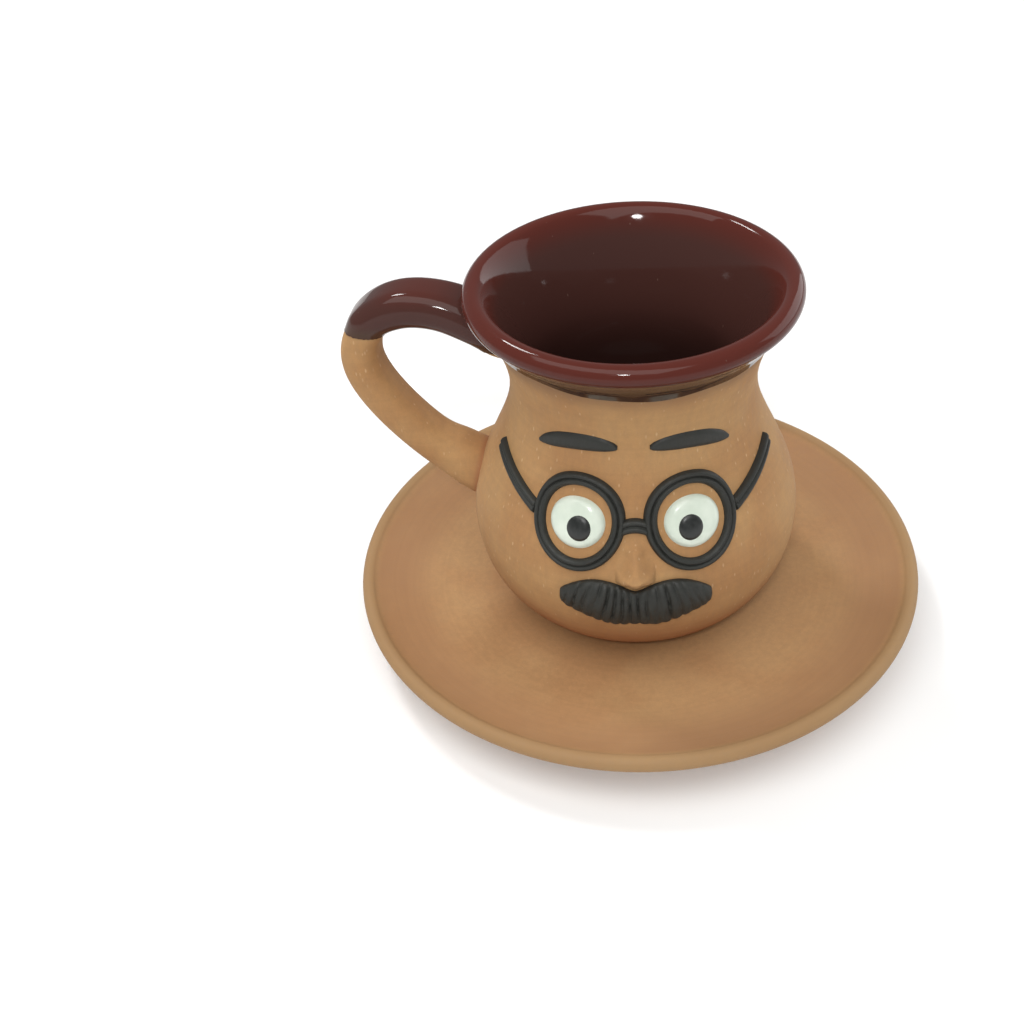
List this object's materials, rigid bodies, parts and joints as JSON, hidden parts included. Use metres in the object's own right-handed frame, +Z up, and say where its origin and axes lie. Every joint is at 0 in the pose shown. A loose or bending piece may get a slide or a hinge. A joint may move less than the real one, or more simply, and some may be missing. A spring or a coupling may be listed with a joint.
{
  "type": "clay coffee cup with saucer",
  "caption": "Round-bellied clay coffee cup with a flared lip, glazed inside, with a strap handle and a bespectacled moustached face in relief, standing on a shallow saucer.",
  "frame": {"origin": "centre of the saucer's flat underside", "axes": "+Z up through the cup's mouth, -Y the way the face looks, -X towards the handle"},
  "size_m": [0.112, 0.112, 0.0746],
  "materials": {
    "saucer_clay": "unglazed matt terracotta",
    "cup_clay": "unglazed matt terracotta with fine pale flecks",
    "brown_glaze": "glossy maroon brown glaze",
    "black_clay": "matt charcoal clay and slip",
    "white_glaze": "glossy off-white glaze"
  },
  "bodies": {
    "saucer": {"saucer": "saucer_clay"},
    "cup": {"cup_body": "cup_clay", "handle": "cup_clay", "nose": "cup_clay", "glaze_lining": "brown_glaze", "handle_glaze": "brown_glaze", "brow_left": "black_clay", "brow_right": "black_clay", "spectacle_rim_left": "black_clay", "spectacle_rim_right": "black_clay", "spectacle_arm_left": "black_clay", "spectacle_arm_right": "black_clay", "pupil_left": "black_clay", "pupil_right": "black_clay", "spectacle_bridge": "black_clay", "moustache": "black_clay", "eye_white_left": "white_glaze", "eye_white_right": "white_glaze"}
  },
  "joints": [
    {"name": "cup_lift", "type": "slide", "parent": "saucer", "child": "cup", "axis": [0, 0, 1], "range_m": [0, 0.08]}
  ]
}
